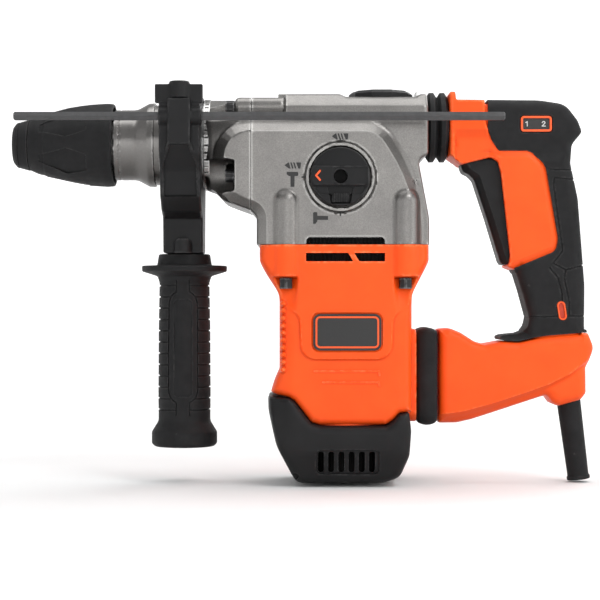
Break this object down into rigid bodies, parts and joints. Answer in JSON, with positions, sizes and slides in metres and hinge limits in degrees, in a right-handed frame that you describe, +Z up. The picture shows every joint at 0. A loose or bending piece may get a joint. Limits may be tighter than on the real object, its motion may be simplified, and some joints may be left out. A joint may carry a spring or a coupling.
{
  "type": "rotary hammer",
  "caption": "Corded rotary hammer with an upright motor, slotted-shank tool holder, swinging side handle with depth rod, and a damped rear handle with a paddle trigger.",
  "frame": {"origin": "centre of the flat underside of the motor's base cap, on the motor shaft's axis", "axes": "+X runs back along the spindle from the tool holder to the rear handle, +Y to the side away from the mode dial, +Z up along the motor shaft"},
  "size_m": [0.3915, 0.1058, 0.2634],
  "materials": {
    "cast": "satin cast magnesium",
    "orange": "satin moulded nylon",
    "black": "satin moulded nylon",
    "rubber": "matte textured rubber",
    "steel": "ground steel",
    "dark_steel": "blackened steel",
    "copper": "enamelled copper",
    "carbon": "pressed carbon",
    "brass": "drawn brass"
  },
  "bodies": {
    "tool": {"gear_housing": "cast", "front_housing": "cast", "housing_screw_upper_left": "dark_steel", "housing_screw_lower_left": "dark_steel", "housing_screw_lower_right": "dark_steel", "housing_screw_upper_right": "dark_steel", "motor_screw_front_left": "dark_steel", "motor_screw_front_right": "dark_steel", "motor_screw_rear_left": "dark_steel", "motor_screw_rear_right": "dark_steel", "motor_housing": "orange", "base_cap": "black", "badge_plate": "black", "stator_core": "steel", "stator_winding": "copper", "upper_bearing": "steel", "lower_bearing": "steel", "bearing_plate": "cast", "carbon_brush_left": "carbon", "carbon_brush_right": "carbon", "brush_holder_left": "brass", "brush_holder_right": "brass", "spindle_bearing": "steel", "grease_cap": "black", "sway_pin": "steel", "bellows": "rubber", "handle_spring": "steel", "damper_band": "rubber"},
    "armature": {"armature_shaft": "steel", "armature_core": "dark_steel", "commutator": "copper", "cooling_fan": "black"},
    "crank": {"crank_gear": "steel"},
    "layshaft": {"intermediate_gear": "steel", "bevel_pinion": "steel"},
    "spindle": {"spindle": "steel", "bevel_ring_gear": "steel", "locking_ball": "steel", "nose_cap": "rubber", "sleeve_spring": "steel"},
    "sleeve": {"locking_sleeve": "rubber"},
    "piston": {"piston": "steel", "connecting_rod": "steel"},
    "striker": {"striker": "steel"},
    "bolt": {"impact_bolt": "steel"},
    "dial": {"mode_dial": "black"},
    "dial_button": {"dial_lock_button": "black"},
    "handle": {"handle_shell_left": "orange", "handle_shell_right": "orange", "grip_overmold_left": "rubber", "grip_overmold_right": "rubber", "switch_module": "black", "indicator_lens": "black", "cord_guard": "rubber"},
    "trigger": {"trigger": "black"},
    "side_handle": {"side_bracket": "black", "clamp_band": "steel"},
    "side_grip": {"side_grip": "rubber"},
    "depth_rod": {"depth_rod": "dark_steel"},
    "wing_knob": {"wing_knob": "black"}
  },
  "joints": [
    {"name": "armature_spin", "type": "hinge", "parent": "tool", "child": "armature", "pos_m": [0, 0, 0.1], "axis": [0, 0, 1], "continuous": true},
    {"name": "crank_spin", "type": "hinge", "parent": "tool", "child": "crank", "pos_m": [0.024, 0, 0.18], "axis": [0, 0, 1], "continuous": true},
    {"name": "layshaft_spin", "type": "hinge", "parent": "tool", "child": "layshaft", "pos_m": [-0.0192, 0, 0.18], "axis": [0, 0, 1], "continuous": true},
    {"name": "spindle_spin", "type": "hinge", "parent": "tool", "child": "spindle", "pos_m": [-0.1, 0, 0.2265], "axis": [1, 0, 0], "continuous": true},
    {"name": "locking_sleeve_slide", "type": "slide", "parent": "spindle", "child": "sleeve", "axis": [1, 0, 0], "range_m": [0, 0.008], "stiffness_N_per_m": 1500, "springref_m": -0.004, "deforming": ["sleeve_spring"]},
    {"name": "piston_slide", "type": "slide", "parent": "tool", "child": "piston", "axis": [1, 0, 0], "range_m": [0, 0.02]},
    {"name": "striker_slide", "type": "slide", "parent": "tool", "child": "striker", "axis": [1, 0, 0], "range_m": [-0.0105, 0.02]},
    {"name": "impact_bolt_slide", "type": "slide", "parent": "tool", "child": "bolt", "axis": [1, 0, 0], "range_m": [-0.004, 0.002]},
    {"name": "mode_dial_turn", "type": "hinge", "parent": "tool", "child": "dial", "pos_m": [-0.0041, -0.046, 0.2022], "axis": [0, 1, 0], "range_deg": [-90, 90]},
    {"name": "dial_lock_button_press", "type": "slide", "parent": "dial", "child": "dial_button", "axis": [0, 1, 0], "range_m": [0, 0.0015], "stiffness_N_per_m": 400, "springref_m": -0.001},
    {"name": "handle_sway", "type": "hinge", "parent": "tool", "child": "handle", "pos_m": [0.055, 0, 0.0715], "axis": [0, 1, 0], "range_deg": [-1.6, 0], "stiffness_Nm_per_rad": 150, "springref_deg": 2.29, "deforming": ["bellows", "handle_spring"]},
    {"name": "trigger_pull", "type": "hinge", "parent": "handle", "child": "trigger", "pos_m": [0.1165, 0, 0.1506], "axis": [0, 1, 0], "range_deg": [0, 6], "stiffness_Nm_per_rad": 2, "springref_deg": -5.73},
    {"name": "side_handle_swing", "type": "hinge", "parent": "tool", "child": "side_handle", "pos_m": [-0.11, 0, 0.2265], "axis": [1, 0, 0], "range_deg": [-180, 0]},
    {"name": "side_grip_turn", "type": "hinge", "parent": "side_handle", "child": "side_grip", "pos_m": [-0.1083, 0, 0.1], "axis": [0, 0, 1], "continuous": true},
    {"name": "depth_rod_slide", "type": "slide", "parent": "side_handle", "child": "depth_rod", "axis": [1, 0, 0], "range_m": [-0.15, 0.05]},
    {"name": "wing_knob_turn", "type": "hinge", "parent": "side_handle", "child": "wing_knob", "pos_m": [-0.1083, -0.052, 0.257], "axis": [0, 0, 1], "continuous": true}
  ],
  "couplings": [
    {"joint": "crank_spin", "follows": "armature_spin", "ratio": -0.15385},
    {"joint": "layshaft_spin", "follows": "armature_spin", "ratio": -0.2},
    {"joint": "spindle_spin", "follows": "armature_spin", "ratio": 0.045}
  ]
}
